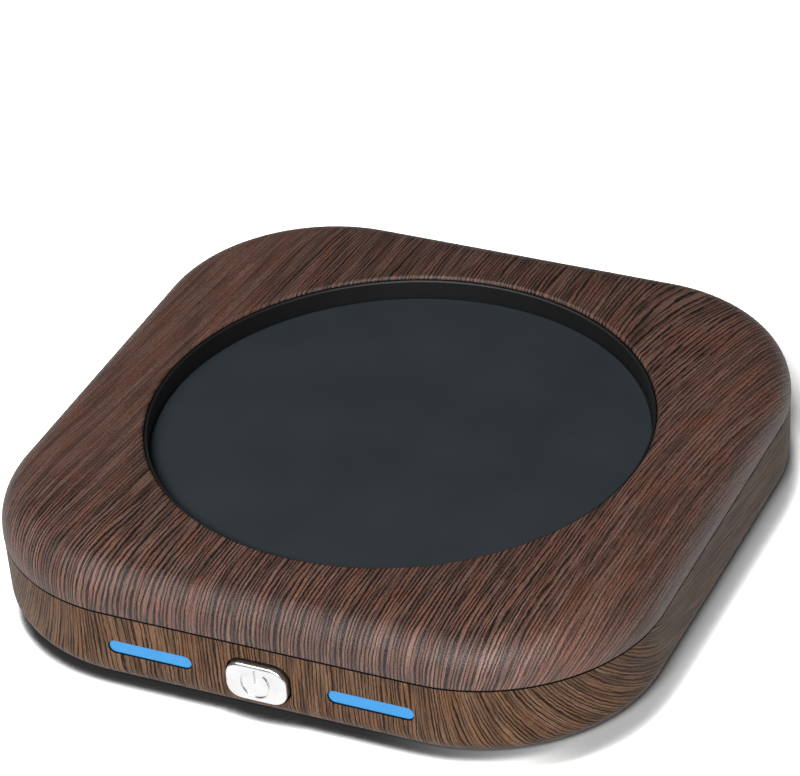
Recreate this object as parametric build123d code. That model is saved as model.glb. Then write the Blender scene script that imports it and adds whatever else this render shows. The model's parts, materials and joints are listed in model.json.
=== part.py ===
from build123d import *
import os
from math import cos, radians, sin, tan

os.makedirs("parts", exist_ok=True)

# An electric mug warmer: a rounded-square two-part case with a round recess on top, where a heated
# plate keeps a mug warm. Millimetres. The origin is the centre of its footprint on the table, +Z is
# up and the power button faces -Y. Boxes are (x0, x1, y0, y1, z0, z1).

# ---- Driving dimensions ----------------------------------------------------------------------
body_width = 130.0        # outline across the flats, at the parting line
corner_r = 33.8           # plan radius of the outline's corners
wall = 2.4                # thickness of both case mouldings
underside_z = 0.9         # case underside above the table
floor_z = 2.9             # inside of the case floor
parting_z = 17.0          # parting line between the two mouldings
parting_gap = 0.3         # shadow gap at the parting line
top_z = 25.45             # highest face of the top cover
recess_r = 47.9           # recess radius inside the liner
plate_top_z = 21.0        # face of the heating plate that a mug stands on
control_z = 9.3           # height of the power button and the light bars
light_x = 22.0            # light bar centres, either side of the button
button_travel = 0.5       # stroke of the power button

half = body_width / 2
up = Vector(0, 0, 1)
weld = 0.5                # how far a post or foot runs into the wall it grows from
fine_gap = 0.05           # clearance between pieces that only touch

# ---- Top cover -------------------------------------------------------------------------------
shoulder_r = 7.0          # the crown's tight outer arc
crown_angle = 8.0         # degrees that the crown still rises after the tight arc
crown_r = 53.4            # the crown's wide inner arc
lip_edge = 0.3            # rounding of the cover's lower edge
lip_z = parting_z + parting_gap / 2
skirt = 1.25              # thickness of the skirt that hangs over the tongue
step_z = 19.0             # top of the groove that takes the tongue
inner_shoulder_r = 3.6
rim_round = 0.7           # rounding of the wood-effect edge round the recess
cover_bore_r = 48.6
recess_wall_r = 51.0
liner_seat_z = 21.2       # underside of the recess wall, where the liner's flange seats

# ---- Lower housing ---------------------------------------------------------------------------
side_draft = 0.3          # the sides lean in by this much towards the bottom
bottom_round = 5.0        # outside rounding of the bottom edge
bottom_round_in = 2.0
top_inset = 0.1           # the housing sits this far inside the cover's lip
housing_top_z = parting_z - parting_gap / 2
tongue_top_z = 18.7
tongue_out = 1.45         # inset of the tongue's outer face
floor_inset = 12.0        # where the swept wall meets the flat floor

# ---- Fasteners, posts and feet ---------------------------------------------------------------
cover_screw_xy = (53.5, 33.0)
clamp_screw_xy = (52.6, 19.2)
foot_xy = (45.5, 45.5)
board_post_xy = ((30.0, 12.0), (30.0, 50.0))
screw_r = 1.5
screw_hole_r = 1.75
pilot_r = 1.55
pilot_depth = 5.0
bite = 4.0                # length of thread in the plastic
pan_head_r = 2.8
pan_head_h = 1.9
head_round = 0.7
drive_reach = 1.8         # half length of the cross recess in a screw's head
drive_width = 0.6
drive_depth = 0.8
boss_r = 3.5
boss_root_r = 4.8         # the wider foot round a cover screw's counterbore
boss_root_z = 6.5
counterbore_r = 3.2
counterbore_z = 4.9       # seat of the cover screws' heads
clamp_boss_r = 3.2
clamp_boss_z = 16.7
board_post_r = 2.8
board_screw_r = 1.0
board_pilot_r = 1.05
board_hole_r = 1.3
board_head_r = 2.2
board_head_h = 1.5
board_bite = 3.0
foot_r = 6.0
foot_pocket_z = 1.7
foot_round = 0.35

# ---- Heater stack, from the plate down -------------------------------------------------------
plate_r = 47.6
plate_flange_r = 51.5
plate_flange_in_r = 45.6
plate_under_z = 19.5
plate_round = 0.4
flange_z = (18.9, 19.9)
seal_z = (19.9, 20.4)
seal_r = (recess_r + 0.2, recess_wall_r + 0.3)
liner_z = (20.4, 24.75)
liner_round = 0.2
heater_r = 38.0
heater_z = (18.7, 19.5)
pad_r = 40.0
pad_z = (16.7, 18.7)
clamp_r = 41.0
clamp_z = (15.7, 16.7)
clamp_under = clamp_z[0]
centre_hole_r = 5.5
lead_notch = (10.0, 32.0)     # half width, and the y where the notch for the leads starts
arm_start = 36.0              # radius at which the clamp plate's arms begin
arm_width = 8.4
tab_x = 6.0                   # the heater's two terminal tabs
tab_y = (33.5, 41.0)
tab_width = 4.0
tab_z = (18.1, 18.7)
tab_end_y = 39.0              # where the leads meet the tabs

# ---- Sensor and thermal fuse, under the clamp plate ------------------------------------------
sensor_r = 3.0
sensor_z = (15.2, 19.5)
sensor_round = 0.5
strap = 0.5                   # thickness of the spring-steel straps
strap_half = 1.5              # half width of the sensor's clip
clip_half = 5.5               # half length of the clip's bridge
clip_foot = 9.6
rivet_r = 0.8
rivet_head_r = 1.4
rivet_head_h = 0.6
rivet_hole_r = 0.85
clip_rivet_x = 7.5
fuse_y = -20.0
fuse_r = 2.0
fuse_half = 5.5               # half length of the fuse's can
fuse_wire_r = 0.6
sleeve_r = 2.6
sleeve_half = 8.0
fuse_z = clamp_under - sleeve_r
fuse_strap_half = 4.6
fuse_strap_r = sleeve_r + fine_gap
fuse_foot_half = 7.6
fuse_foot_reach = 7.2
fuse_rivet = (6.0, fuse_y + 5.4)

# ---- Control board: footprint (x0, x1, y0, y1) and height of each component ------------------
board_x = 33.0
board_y = (9.0, 53.0)
board_z = (6.5, 8.1)
board_corner = 1.5
board_top = board_z[1]
heater_terminal_size = (-27.4, -17.4, 10.0, 18.0, 6.5)
input_terminal_size = (-5.0, 5.0, 44.0, 52.0, 7.4)
terminal_mouth_r = 1.0
terminal_mouth_z = board_top + 2.9
terminal_mouth_depth = 3.0
terminal_screw_r = 1.6
terminal_screw_depth = 1.0
film_capacitor_size = (17.0, 30.0, 30.0, 38.0, 6.8)
rectifier_size = (10.0, 18.0, 20.0, 26.0, 3.0)
triac_size = (-30.0, -20.0, 22.0, 31.0, 4.4)
triac_tab_size = (-30.0, -20.0, 31.0, 37.5, 1.3)
triac_hole = (-25.0, 34.5, 1.8)
controller_size = (14.5, 18.5, 11.5, 18.0, 1.6)
controller_legs = 5
leg_reach = 1.0
leg_h = 0.7
mains_fuse_at = (-14.0, 46.5, 4.2, 7.0)       # x, y, radius, height
reservoir_at = (-13.0, 28.0, 3.3, 11.5)       # x, y, radius, length
inductor_at = (25.5, 19.5, 3.8, 6.0)          # x, y, radius, height
inductor_core_r = 3.2
inductor_rim = 1.2
varistor_at = (13.0, 47.1, 4.4, 3.4)          # x, y, radius, thickness
varistor_rise = 5.0
varistor_leg = (2.2, 0.35, 4.0)               # offset, radius, height
soft_edge = 0.6

# ---- Sockets and thin leads ------------------------------------------------------------------
sensor_socket_x = (-13.5, -7.4)
harness_socket_x = (0.0, 10.0)
socket_y = (10.0, 15.0)
socket_z = (board_top, 13.1)
harness_plug_x = (-5.0, 5.0)
harness_plug_y = (-56.2, -51.2)
harness_plug_z = (4.3, 9.3)
sensor_ways = 2
harness_ways = 4
wire_depth = 1.5              # how far a thin lead goes into its socket
lead_r = 0.9
thin_lead_r = 0.5

# ---- Indicator board, button and lights ------------------------------------------------------
panel_x = 38.0
panel_y = (-57.4, -56.2)
panel_z = (3.6, 14.0)
panel_front = panel_y[0]
panel_post_x = (36.6, 40.2)
panel_post_lip = 1.8
panel_post_top = 11.0
opening_y = (-66.0, -61.5)    # depth range of the cuts through the front wall
button_size = (12.1, 7.8)
button_corner = 3.0
button_round = 0.55
button_front_y = -66.2
button_flange_y = (-61.95, -61.1)
button_flange_size = (14.4, 9.8)
button_flange_corner = 4.2
button_gap = 0.4              # clearance round the button in its opening
icon_r = 2.75
icon_line = 0.5
icon_depth = 0.3
icon_gap_angle = 36.0         # half of the ring's opening, in degrees
icon_lift = 0.2
bar_size = (16.7, 2.6)
bar_y = (-64.47, -59.2)
bar_round = 0.2
bar_flange_size = (18.0, 4.2)
bar_flange_y = (-62.1, -61.2)
bar_gap = 0.15
led_size = (3.2, 2.2, 1.3)    # width, height, depth
led_step = 4.2                # either side of the light bar's centre
switch_half = 3.0
switch_depth = 3.0
switch_corner = 0.5
plunger_r = 1.6
plunger_bore_r = 1.7
plunger_inside = 1.0          # how far it stands in the switch at rest
baffle_size = (64.0, 9.0)
baffle_window = 7.4           # opening round the switch
baffle_front_y = -61.8
baffle_box_x = (11.6, 32.0)
baffle_box_h = 6.8
baffle_cell = (18.5, 4.7)
baffle_sheet = 0.7

# ---- Cord entry ------------------------------------------------------------------------------
cord_z = 10.2
cord_bore_r = 3.1
grommet_r = 5.0
grommet_nose_r = 4.2
grommet_flange_r = 6.0
grommet_lip_r = 5.7           # the lip that holds it behind the wall
grommet_nose_y = 59.3
grommet_lip_y = (60.6, 61.6)
grommet_seat_y = 64.0
grommet_back_y = 66.2
grommet_edge = 0.8


# ---- Shape helpers ---------------------------------------------------------------------------
def swept_ring(section):
    """Carry a section (x = inset from the outline, y = height) once round the outline."""
    path = RectangleRounded(body_width, body_width, corner_r).wire()
    start = path @ 0
    inward = up.cross(path % 0)
    if inward.dot(start) > 0:
        inward = inward * -1
    station = Plane(origin=start, x_dir=inward, z_dir=inward.cross(up))
    return sweep(station * section, path=path)


def inset_square(inset):
    """The outline, drawn in by an inset."""
    side = body_width - 2 * inset
    return RectangleRounded(side, side, corner_r - inset)


def slab(sketch, z0, z1):
    """A flat shape standing from z0 to z1."""
    return extrude(Pos(0, 0, z0) * sketch, amount=z1 - z0)


def peg(x, y, z0, z1, radius):
    return Pos(x, y, (z0 + z1) / 2) * Cylinder(radius, z1 - z0)


def block(x0, x1, y0, y1, z0, z1):
    centre = Pos((x0 + x1) / 2, (y0 + y1) / 2, (z0 + z1) / 2)
    return centre * Box(x1 - x0, y1 - y0, z1 - z0)


def on_side(side, x0, x1, *rest):
    """A block given on the +X side, or its mirror image where side is -1."""
    low, high = sorted((side * x0, side * x1))
    return block(low, high, *rest)


def turned(points):
    """A ring or disc turned about the Z axis from (radius, height) points."""
    return revolve(Plane.XZ * make_face(Polyline(*points, close=True)), Axis.Z)


def washer(radii, heights):
    """A flat ring between two radii and two heights."""
    (r0, r1), (z0, z1) = radii, heights
    return turned([(r0, z0), (r1, z0), (r1, z1), (r0, z1)])


def facing_front(sketch, x, z, y0, y1):
    """A flat shape seen from the front, standing from y0 back to y1."""
    return extrude(Plane(origin=(x, y1, z), x_dir=(1, 0, 0), z_dir=(0, -1, 0)) * sketch, amount=y1 - y0)


def along_x(half_length, y, z, radius):
    """A round bar along X, centred on x = 0."""
    return Pos(0, y, z) * Rot(0, 90, 0) * Cylinder(radius, 2 * half_length)


def lead(points, bends, radius):
    """A round insulated lead along straight runs joined by arcs."""
    path = FilletPolyline(*points, radius=bends)
    return sweep(Plane(origin=path @ 0, z_dir=path % 0) * Circle(radius), path=path)


def four(xy):
    """The four places that mirror one place in both planes."""
    x, y = xy
    return [(x, y), (-x, y), (-x, -y), (x, -y)]


def pan_screw(x, y, seat_z, tip_z):
    """A pan-head screw put in from below, its head's seat at seat_z."""
    low = seat_z - pan_head_h
    head = peg(x, y, low, seat_z, pan_head_r)
    screw = fillet(head.edges().sort_by(Axis.Z)[0], head_round) + peg(x, y, seat_z, tip_z, screw_r)
    for long_x, long_y in ((drive_reach, drive_width / 2), (drive_width / 2, drive_reach)):
        screw -= block(x - long_x, x + long_x, y - long_y, y + long_y, low, low + drive_depth)
    return screw


# ---- Case ------------------------------------------------------------------------------------
def crown_section():
    """Section of the top cover's rounded edge, and the inset where the flat top starts."""
    turn = radians(crown_angle)
    shoulder_z = top_z - shoulder_r * cos(turn) - crown_r * (1 - cos(turn))
    edge = JernArc((lip_edge, lip_z), (-1, 0), lip_edge, -90)
    shoulder = JernArc((0, shoulder_z), (0, 1), shoulder_r, crown_angle - 90)
    crown = JernArc(shoulder @ 1, shoulder % 1, crown_r, -crown_angle)
    inside = JernArc((wall, step_z), (0, 1), inner_shoulder_r, crown_angle - 90)
    drop = crown @ 1 - Vector(0, wall)
    lines = [
        Line((skirt, lip_z), edge @ 0), edge, Line(edge @ 1, shoulder @ 0), shoulder, crown,
        Line(crown @ 1, drop), Line(drop, inside @ 1), inside,
        Line(inside @ 0, (skirt, step_z)), Line((skirt, step_z), (skirt, lip_z)),
    ]
    return make_face(lines), (crown @ 1).X


def top_cover():
    section, flat_inset = crown_section()
    under_z = top_z - wall
    cover = swept_ring(section) + slab(inset_square(flat_inset), under_z, top_z)
    cover += peg(0, 0, liner_seat_z, under_z, recess_wall_r)
    cover -= peg(0, 0, liner_seat_z, top_z, cover_bore_r)
    on_top = cover.edges().filter_by(GeomType.CIRCLE).group_by(Axis.Z)[-1]
    cover = fillet(on_top.filter_by(lambda e: abs(e.radius - cover_bore_r) < fine_gap), rim_round)
    bosses = [(xy, lip_z, boss_r) for xy in four(cover_screw_xy)]
    bosses += [(xy, clamp_boss_z, clamp_boss_r) for xy in four(clamp_screw_xy)]
    for (x, y), low, radius in bosses:
        cover += peg(x, y, low, under_z + weld, radius)
        cover -= peg(x, y, low, low + pilot_depth, pilot_r)
    return cover


def housing_section():
    """Section of the lower housing's side, from its tongue round the bottom edge."""
    outer = JernArc((top_inset + side_draft, underside_z + bottom_round), (0, -1), bottom_round, 90)
    inner = JernArc((wall + side_draft, floor_z + bottom_round_in), (0, -1), bottom_round_in, 90)
    rest = [
        inner @ 0, (wall, housing_top_z), (wall, tongue_top_z), (tongue_out, tongue_top_z),
        (tongue_out, housing_top_z), (top_inset, housing_top_z), outer @ 0,
    ]
    floor_end = Polyline(outer @ 1, (floor_inset, underside_z), (floor_inset, floor_z), inner @ 1)
    return make_face([outer, floor_end, inner, Polyline(*rest)])


def panel_post(side):
    """A slotted post that holds one end of the upright indicator board."""
    front, back = panel_y
    x0, x1 = panel_post_x
    lip = panel_post_lip
    post = on_side(side, x0, x1, front - lip, back + lip, floor_z - weld, panel_post_top)
    slot = (front - fine_gap, back + fine_gap, panel_z[0], panel_post_top)
    return post - on_side(side, x0, panel_x + 2 * fine_gap, *slot)


def lower_housing():
    housing = swept_ring(housing_section()) + slab(inset_square(floor_inset), underside_z, floor_z)
    slot = SlotOverall(bar_size[0] + 2 * bar_gap, bar_size[1] + 2 * bar_gap)
    for side in (-1, 1):
        housing += panel_post(side)
        housing -= facing_front(slot, side * light_x, control_z, *opening_y)
    width, height = (size + 2 * button_gap for size in button_size)
    opening = RectangleRounded(width, height, button_corner + button_gap)
    housing -= facing_front(opening, 0, control_z, *opening_y)
    housing -= facing_front(Circle(grommet_r + 2 * fine_gap), 0, cord_z, grommet_nose_y, half)
    housing -= facing_front(Circle(grommet_flange_r + 4 * fine_gap), 0, cord_z, grommet_seat_y, half)
    for x, y in four(cover_screw_xy):
        housing += peg(x, y, floor_z - weld, boss_root_z, boss_root_r)
        housing += peg(x, y, floor_z, parting_z, boss_r)
        housing -= peg(x, y, underside_z, counterbore_z, counterbore_r)
        housing -= peg(x, y, counterbore_z, parting_z, screw_hole_r)
    for x, y in four(foot_xy):
        housing -= peg(x, y, underside_z, foot_pocket_z, foot_r + 2 * fine_gap)
    for x, y in board_posts():
        housing += peg(x, y, floor_z - weld, board_z[0], board_post_r)
        housing -= peg(x, y, floor_z, board_z[0], board_pilot_r)
    return housing


def rubber_feet():
    feet = [peg(x, y, 0, foot_pocket_z, foot_r) for x, y in four(foot_xy)]
    return [fillet(foot.edges().sort_by(Axis.Z)[0], foot_round) for foot in feet]


def cover_screws():
    return [pan_screw(x, y, counterbore_z, parting_z + bite) for x, y in four(cover_screw_xy)]


def cord_grommet():
    lip_start, lip_end = grommet_lip_y
    profile = [
        (cord_bore_r, grommet_nose_y), (grommet_nose_r, grommet_nose_y), (grommet_lip_r, lip_start),
        (grommet_lip_r, lip_end), (grommet_r, lip_end), (grommet_r, grommet_seat_y),
        (grommet_flange_r, grommet_seat_y), (grommet_flange_r, grommet_back_y - grommet_edge),
        (grommet_flange_r - grommet_edge, grommet_back_y), (cord_bore_r, grommet_back_y),
    ]
    return Pos(0, 0, cord_z) * revolve(make_face(Polyline(*profile, close=True)), Axis.Y)


# ---- Heater stack ----------------------------------------------------------------------------
def recess_liner():
    low, high = liner_z
    outer_r = cover_bore_r - 2 * fine_gap
    return turned([
        (recess_r, low), (seal_r[1], low), (seal_r[1], liner_seat_z), (outer_r, liner_seat_z),
        (outer_r, high - liner_round), (outer_r - liner_round, high),
        (recess_r + liner_round, high), (recess_r, high - liner_round),
    ])


def plate_seal():
    return washer(seal_r, seal_z)


def heating_plate():
    plate = peg(0, 0, plate_under_z, plate_top_z, plate_r)
    plate = fillet(plate.edges().sort_by(Axis.Z)[-1], plate_round)
    return plate + washer((plate_flange_in_r, plate_flange_r), flange_z)


def heater_element():
    element = washer((centre_hole_r, heater_r), heater_z)
    for x in (-tab_x, tab_x):
        element += block(x - tab_width / 2, x + tab_width / 2, *tab_y, *tab_z)
    return element


def notched_disc(radius, z0, z1, hole_r):
    """A disc with a centre hole and the notch that lets the heater's leads through."""
    half_width, start = lead_notch
    return washer((hole_r, radius), (z0, z1)) - block(-half_width, half_width, start, radius, z0, z1)


def insulation_pad():
    return notched_disc(pad_r, *pad_z, centre_hole_r)


def rivet_places():
    x, y = fuse_rivet
    return [(side * clip_rivet_x, 0) for side in (-1, 1)] + [(side * x, y) for side in (-1, 1)]


def clamp_plate():
    plate = notched_disc(clamp_r, *clamp_z, sensor_r + 8 * fine_gap)
    for x, y in four(clamp_screw_xy):
        spot = Vector(x, y)
        bearing = spot.get_signed_angle(Vector(1, 0), -up)
        middle = Pos((spot.length + arm_start) / 2, 0)
        arm = middle * Rectangle(spot.length - arm_start, arm_width)
        arm += Pos(spot.length, 0) * Circle(arm_width / 2)
        plate += slab(Rot(0, 0, bearing) * arm, *clamp_z)
        plate -= peg(x, y, *clamp_z, screw_hole_r)
    for x, y in rivet_places():
        plate -= peg(x, y, *clamp_z, rivet_hole_r)
    return plate


def clamp_screws():
    return [pan_screw(x, y, clamp_under, clamp_boss_z + bite) for x, y in four(clamp_screw_xy)]


def temperature_sensor():
    cup = peg(0, 0, *sensor_z, sensor_r)
    return fillet(cup.edges().sort_by(Axis.Z)[-1], sensor_round)


def sensor_clip():
    """A sprung bridge that presses the sensor against the plate, riveted down at both ends."""
    bridge_z = sensor_z[0] - strap
    across = (-strap_half, strap_half)
    clip = block(-clip_half, clip_half, *across, bridge_z, sensor_z[0])
    for side in (-1, 1):
        clip += on_side(side, clip_half - 1.2 * strap, clip_half, *across, bridge_z, clamp_under)
        clip += on_side(side, clip_half - strap, clip_foot, *across, clamp_under - strap, clamp_under)
        clip -= peg(side * clip_rivet_x, 0, clamp_under - strap, clamp_under, rivet_hole_r)
    return clip


def clip_rivets():
    head_z = clamp_under - strap
    return [
        peg(x, y, head_z - rivet_head_h, head_z, rivet_head_r) + peg(x, y, head_z, clamp_z[1], rivet_r)
        for x, y in rivet_places()
    ]


def thermal_fuse():
    return along_x(fuse_half, fuse_y, fuse_z, fuse_r) + along_x(sleeve_half, fuse_y, fuse_z, fuse_wire_r)


def fuse_sleeve():
    bore = along_x(sleeve_half, fuse_y, fuse_z, fuse_r + fine_gap)
    return along_x(sleeve_half, fuse_y, fuse_z, sleeve_r) - bore


def fuse_clip():
    """A strap under the fuse's sleeve, with a foot riveted to the clamp plate."""
    x = fuse_strap_half
    outer_r = fuse_strap_r + strap
    clip = along_x(x, fuse_y, fuse_z, outer_r) - along_x(x, fuse_y, fuse_z, fuse_strap_r)
    clip -= block(-x, x, fuse_y - outer_r, fuse_y + outer_r, fuse_z, fuse_z + outer_r)
    for y0 in (fuse_y - outer_r, fuse_y + fuse_strap_r):
        clip += block(-x, x, y0, y0 + strap, fuse_z, clamp_under)
    foot_z = (clamp_under - strap, clamp_under)
    clip += block(-fuse_foot_half, fuse_foot_half, fuse_y + fuse_strap_r, fuse_y + fuse_foot_reach, *foot_z)
    for side in (-1, 1):
        clip -= peg(side * fuse_rivet[0], fuse_rivet[1], *foot_z, rivet_hole_r)
    return clip


# ---- Control board ---------------------------------------------------------------------------
def board_posts():
    return [(side * x, y) for x, y in board_post_xy for side in (-1, 1)]


def control_board():
    board = block(-board_x, board_x, *board_y, *board_z)
    board = fillet(board.edges().filter_by(Axis.Z), board_corner)
    for x, y in board_posts():
        board -= peg(x, y, *board_z, board_hole_r)
    return board


def board_screws():
    screws = []
    for x, y in board_posts():
        head = peg(x, y, board_top, board_top + board_head_h, board_head_r)
        head = fillet(head.edges().sort_by(Axis.Z)[-1], head_round / 2)
        screws.append(head + peg(x, y, board_z[0] - board_bite, board_top, board_screw_r))
    return screws


def on_board(x0, x1, y0, y1, height):
    return block(x0, x1, y0, y1, board_top, board_top + height)


def terminal_poles(x0, x1):
    """Where the two wires of a terminal block lie."""
    return (3 * x0 + x1) / 4, (x0 + 3 * x1) / 4


def screw_terminal(size, mouth_y):
    """A two-pole terminal block: two wire mouths in one face, from mouth_y back, and two screws on top."""
    x0, x1, y0, y1, height = size
    terminal = on_board(*size)
    top = board_top + height
    for x in terminal_poles(x0, x1):
        mouth = Circle(terminal_mouth_r)
        terminal -= facing_front(mouth, x, terminal_mouth_z, mouth_y, mouth_y + terminal_mouth_depth)
        terminal -= peg(x, (y0 + y1) / 2, top - terminal_screw_depth, top, terminal_screw_r)
    return terminal


def heater_terminal():
    return screw_terminal(heater_terminal_size, heater_terminal_size[2])


def input_terminal():
    return screw_terminal(input_terminal_size, input_terminal_size[3] - terminal_mouth_depth)


def mains_fuse():
    x, y, radius, height = mains_fuse_at
    body = peg(x, y, board_top, board_top + height, radius)
    return fillet(body.edges().sort_by(Axis.Z)[-1], soft_edge)


def varistor():
    x, y, radius, thickness = varistor_at
    offset, leg_r, leg_z = varistor_leg
    disc = facing_front(Circle(radius), x, board_top + varistor_rise, y - thickness / 2, y + thickness / 2)
    disc = fillet(disc.edges(), 1.5 * soft_edge)
    for side in (-1, 1):
        disc += peg(x + side * offset, y, board_top, board_top + leg_z, leg_r)
    return disc


def film_capacitor():
    return fillet(on_board(*film_capacitor_size).edges().filter_by(Axis.Z), soft_edge)


def reservoir_capacitor():
    x, y, radius, length = reservoir_at
    can = Pos(x, y, board_top + radius) * Rot(90, 0, 0) * Cylinder(radius, length)
    return fillet(can.edges(), soft_edge)


def bridge_rectifier():
    return chamfer(on_board(*rectifier_size).edges().sort_by(Axis.Z)[-4:], soft_edge)


def triac():
    x, y, radius = triac_hole
    hole = peg(x, y, board_top, board_top + triac_tab_size[-1], radius)
    return on_board(*triac_size) + on_board(*triac_tab_size) - hole


def microcontroller():
    """A small chip with bent legs down two sides."""
    x0, x1, y0, y1, height = controller_size
    chip = chamfer(on_board(*controller_size).edges().sort_by(Axis.Z)[-4:], soft_edge / 2)
    pitch = (y1 - y0) / controller_legs
    for i in range(controller_legs):
        middle = y0 + pitch * (i + 0.5)
        for left in (x0 - leg_reach, x1):
            chip += on_board(left, left + leg_reach, middle - pitch / 5, middle + pitch / 5, leg_h)
    return chip


def supply_inductor():
    """A ferrite drum core on its end."""
    x, y, radius, height = inductor_at
    low, high = board_top + inductor_rim, board_top + height - inductor_rim
    waist = peg(x, y, low, high, radius) - peg(x, y, low, high, inductor_core_r)
    return peg(x, y, board_top, board_top + height, radius) - waist


def ways_across(x_range, ways):
    """Where a socket's wire holes lie across its width."""
    pitch = (x_range[1] - x_range[0]) / (ways + 0.6)
    return [x_range[0] + pitch * (i + 0.8) for i in range(ways)]


def pin_socket(x_range, y_range, z_range, ways, mouth_y):
    """A small moulded socket with a round hole for each wire, from mouth_y back."""
    socket = block(*x_range, *y_range, *z_range)
    hole = Circle(thin_lead_r + fine_gap)
    for x in ways_across(x_range, ways):
        socket -= facing_front(hole, x, sum(z_range) / 2, mouth_y, mouth_y + wire_depth)
    return socket


def sensor_socket():
    return pin_socket(sensor_socket_x, socket_y, socket_z, sensor_ways, socket_y[0])


def indicator_socket():
    return pin_socket(harness_socket_x, socket_y, socket_z, harness_ways, socket_y[0])


def harness_plug():
    mouth_y = harness_plug_y[1] - wire_depth
    return pin_socket(harness_plug_x, harness_plug_y, harness_plug_z, harness_ways, mouth_y)


# ---- Indicator board, button and lights ------------------------------------------------------
def indicator_board():
    return block(-panel_x, panel_x, *panel_y, *panel_z)


def status_leds():
    """Two light-emitting diodes behind each light bar."""
    width, height, depth = led_size
    leds = []
    for x in (side * light_x + step for side in (-1, 1) for step in (-led_step, led_step)):
        led = facing_front(Rectangle(width, height), x, control_z, panel_front - depth, panel_front)
        leds.append(chamfer(led.edges().sort_by(Axis.Y)[:4], soft_edge / 2))
    return leds


def tact_switch():
    front = panel_front - switch_depth
    body = facing_front(Rectangle(2 * switch_half, 2 * switch_half), 0, control_z, front, panel_front)
    body = chamfer(body.edges().filter_by(Axis.Y), switch_corner)
    bore_depth = plunger_inside + button_travel + 2 * fine_gap
    return body - facing_front(Circle(plunger_bore_r), 0, control_z, front, front + bore_depth)


def switch_plunger():
    back = panel_front - switch_depth + plunger_inside
    return facing_front(Circle(plunger_r), 0, control_z, button_flange_y[1], back)


def light_bar(side):
    """A clear guide: a full-round bar in the wall's slot, with a flange behind the wall."""
    x = side * light_x
    bar = facing_front(SlotOverall(*bar_size), x, control_z, *bar_y)
    bar = fillet(bar.edges().group_by(Axis.Y)[0], bar_round)
    return bar + facing_front(RectangleRounded(*bar_flange_size, 5 * bar_round), x, control_z, *bar_flange_y)


def light_baffle():
    """A black frame that keeps each light bar's light to itself."""
    sheet_y = (panel_front - baffle_sheet, panel_front)
    box_y = (baffle_front_y, panel_front)
    x0, x1 = baffle_box_x
    baffle = facing_front(Rectangle(*baffle_size), 0, control_z, *sheet_y)
    baffle -= facing_front(Rectangle(baffle_window, baffle_window), 0, control_z, *sheet_y)
    for side in (-1, 1):
        baffle += facing_front(Rectangle(x1 - x0, baffle_box_h), side * (x0 + x1) / 2, control_z, *box_y)
    for side in (-1, 1):
        baffle -= facing_front(Rectangle(*baffle_cell), side * light_x, control_z, *box_y)
    return baffle


def power_icon():
    """The open ring and stroke of the generic power symbol, as a flat shape."""
    ring = Circle(icon_r + icon_line / 2) - Circle(icon_r - icon_line / 2)
    reach = 2 * icon_r
    spread = reach * tan(radians(icon_gap_angle))
    ring -= make_face(Polyline((0, 0), (spread, reach), (-spread, reach), close=True))
    stroke = SlotOverall(icon_r + icon_line, icon_line, rotation=90)
    return ring + Pos(0, icon_r / 2 + icon_lift) * stroke


def power_button():
    outline = RectangleRounded(*button_size, button_corner)
    cap = facing_front(outline, 0, control_z, button_front_y, button_flange_y[1])
    cap = fillet(cap.edges().group_by(Axis.Y)[0], button_round)
    flange = RectangleRounded(*button_flange_size, button_flange_corner)
    cap += facing_front(flange, 0, control_z, *button_flange_y)
    return cap - facing_front(power_icon(), 0, control_z, button_front_y, button_front_y + icon_depth)


# ---- Leads: the points of each route are (x, y, z), with one bend radius per corner ----------
def heater_leads():
    """Neutral straight to the heater; live by way of the thermal fuse."""
    live_x, neutral_x = terminal_poles(*heater_terminal_size[:2])
    mouth = (heater_terminal_size[2], terminal_mouth_z)
    end = sleeve_half + fine_gap
    neutral = lead(
        [(neutral_x, *mouth), (neutral_x, 3.5, 11.2), (-14.5, 1.6, 13), (-7.5, 7, 14.1), (-5.5, 22, 14.2),
         (-tab_x, 36.4, 13.6), (-tab_x, tab_end_y, 16), (-tab_x, tab_end_y, tab_z[0])],
        [2.5, 3, 4, 12, 2.5, 0.8], lead_r)
    live = lead(
        [(live_x, *mouth), (live_x, 2, 11.2), (-20.5, -13, 12.4), (-14, -19.6, fuse_z),
         (-end, fuse_y, fuse_z)],
        [4, 5, 4], lead_r)
    fused = lead(
        [(end, fuse_y, fuse_z), (13.5, -19.7, fuse_z), (16.5, -9, 13.6), (9.4, 7, 14.3), (7.6, 24, 14.4),
         (tab_x, 36.4, 13.6), (tab_x, tab_end_y, 16), (tab_x, tab_end_y, tab_z[0])],
        [3, 5, 12, 14, 2.5, 0.8], lead_r)
    return [neutral, live, fused]


def sensor_leads():
    wire_z = sum(socket_z) / 2
    return [
        lead(
            [(start, 2.2, sensor_z[0]), (start, 2.2, 12.6), (start - 5.2, 4.0, 11.0), (end, 6.5, wire_z),
             (end, socket_y[0] + wire_depth, wire_z)],
            [1.0, 2.0, 1.6], thin_lead_r)
        for start, end in zip((-1.3, 0.3), ways_across(sensor_socket_x, sensor_ways))
    ]


def indicator_harness():
    wire_z = sum(socket_z) / 2
    plug_z = sum(harness_plug_z) / 2
    starts = ways_across(harness_socket_x, harness_ways)
    ends = ways_across(harness_plug_x, harness_ways)
    return [
        lead(
            [(start, socket_y[0] + wire_depth, wire_z), (start, 3, wire_z), (start - 1.2, -9, 5.0),
             (start - 3.8, -30, 4.2), (end, -43, plug_z), (end, harness_plug_y[1] - wire_depth, plug_z)],
            [4, 8, 8, 4], thin_lead_r)
        for start, end in zip(starts, ends)
    ]


def light_bar_left():
    return light_bar(-1)


def light_bar_right():
    return light_bar(1)


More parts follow.
